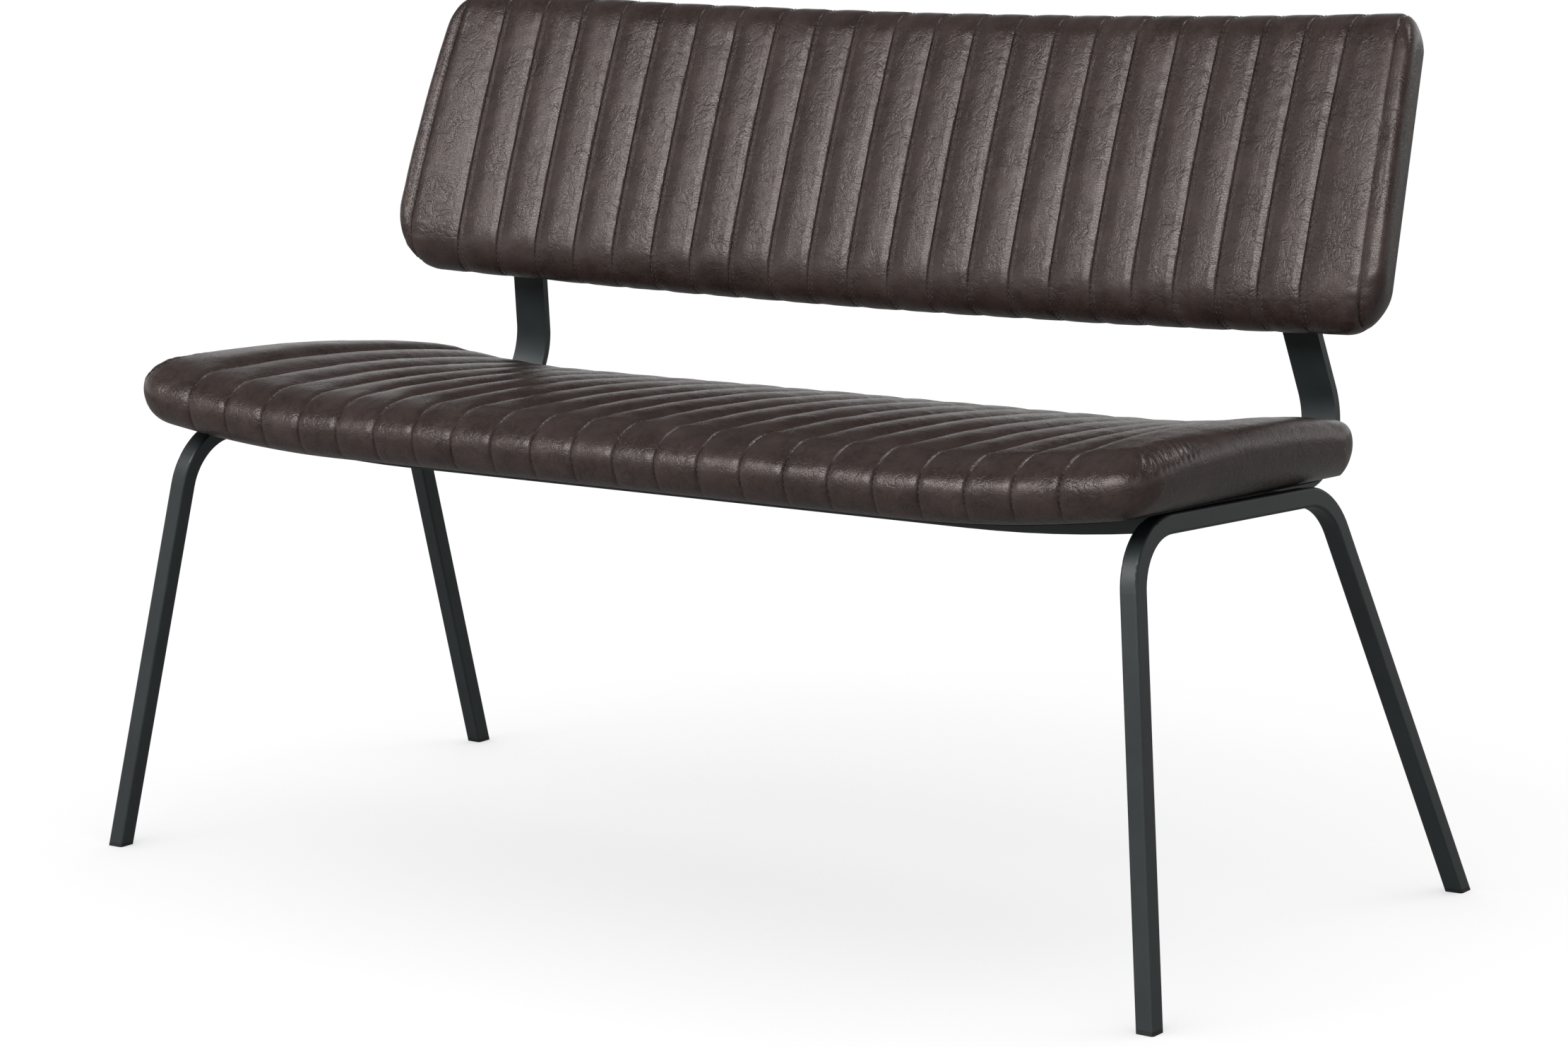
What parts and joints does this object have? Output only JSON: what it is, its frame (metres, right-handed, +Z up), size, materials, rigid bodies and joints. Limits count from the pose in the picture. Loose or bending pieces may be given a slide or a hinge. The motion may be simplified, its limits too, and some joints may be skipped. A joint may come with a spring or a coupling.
{
  "type": "dining bench",
  "caption": "Upholstered dining bench with a curved channel-stitched seat and backrest in brown imitation leather on splayed dark steel tube legs.",
  "frame": {"origin": "centre of the footprint, on the floor under the feet", "axes": "+X along the bench to the sitter's left, +Y from the front of the seat to the backrest, +Z up"},
  "size_m": [1.2266, 0.6112, 0.8274],
  "materials": {
    "cover_leather": "satin",
    "frame_steel": "satin",
    "cap_plastic": "matte",
    "plywood": "matte",
    "foam": "matte",
    "dust_cloth": "matte",
    "bolt_steel": "satin",
    "nut_steel": "satin"
  },
  "bodies": {
    "root": {"left_leg_frame": "frame_steel", "right_leg_frame": "frame_steel", "front_cross_rail": "frame_steel", "rear_cross_rail": "frame_steel", "left_back_support": "frame_steel", "right_back_support": "frame_steel", "left_front_foot_cap": "cap_plastic", "left_rear_foot_cap": "cap_plastic", "right_front_foot_cap": "cap_plastic", "right_rear_foot_cap": "cap_plastic", "seat_board": "plywood", "seat_foam": "foam", "seat_cover": "cover_leather", "seat_dust_cover": "dust_cloth", "back_board": "plywood", "back_foam": "foam", "back_cover": "cover_leather", "left_back_end_panel": "cover_leather", "right_back_end_panel": "cover_leather", "back_rear_panel": "cover_leather", "seat_bolts": "bolt_steel", "seat_washers": "bolt_steel", "seat_tee_nuts": "nut_steel", "back_bolts": "bolt_steel", "back_washers": "bolt_steel", "back_tee_nuts": "nut_steel"}
  },
  "joints": []
}
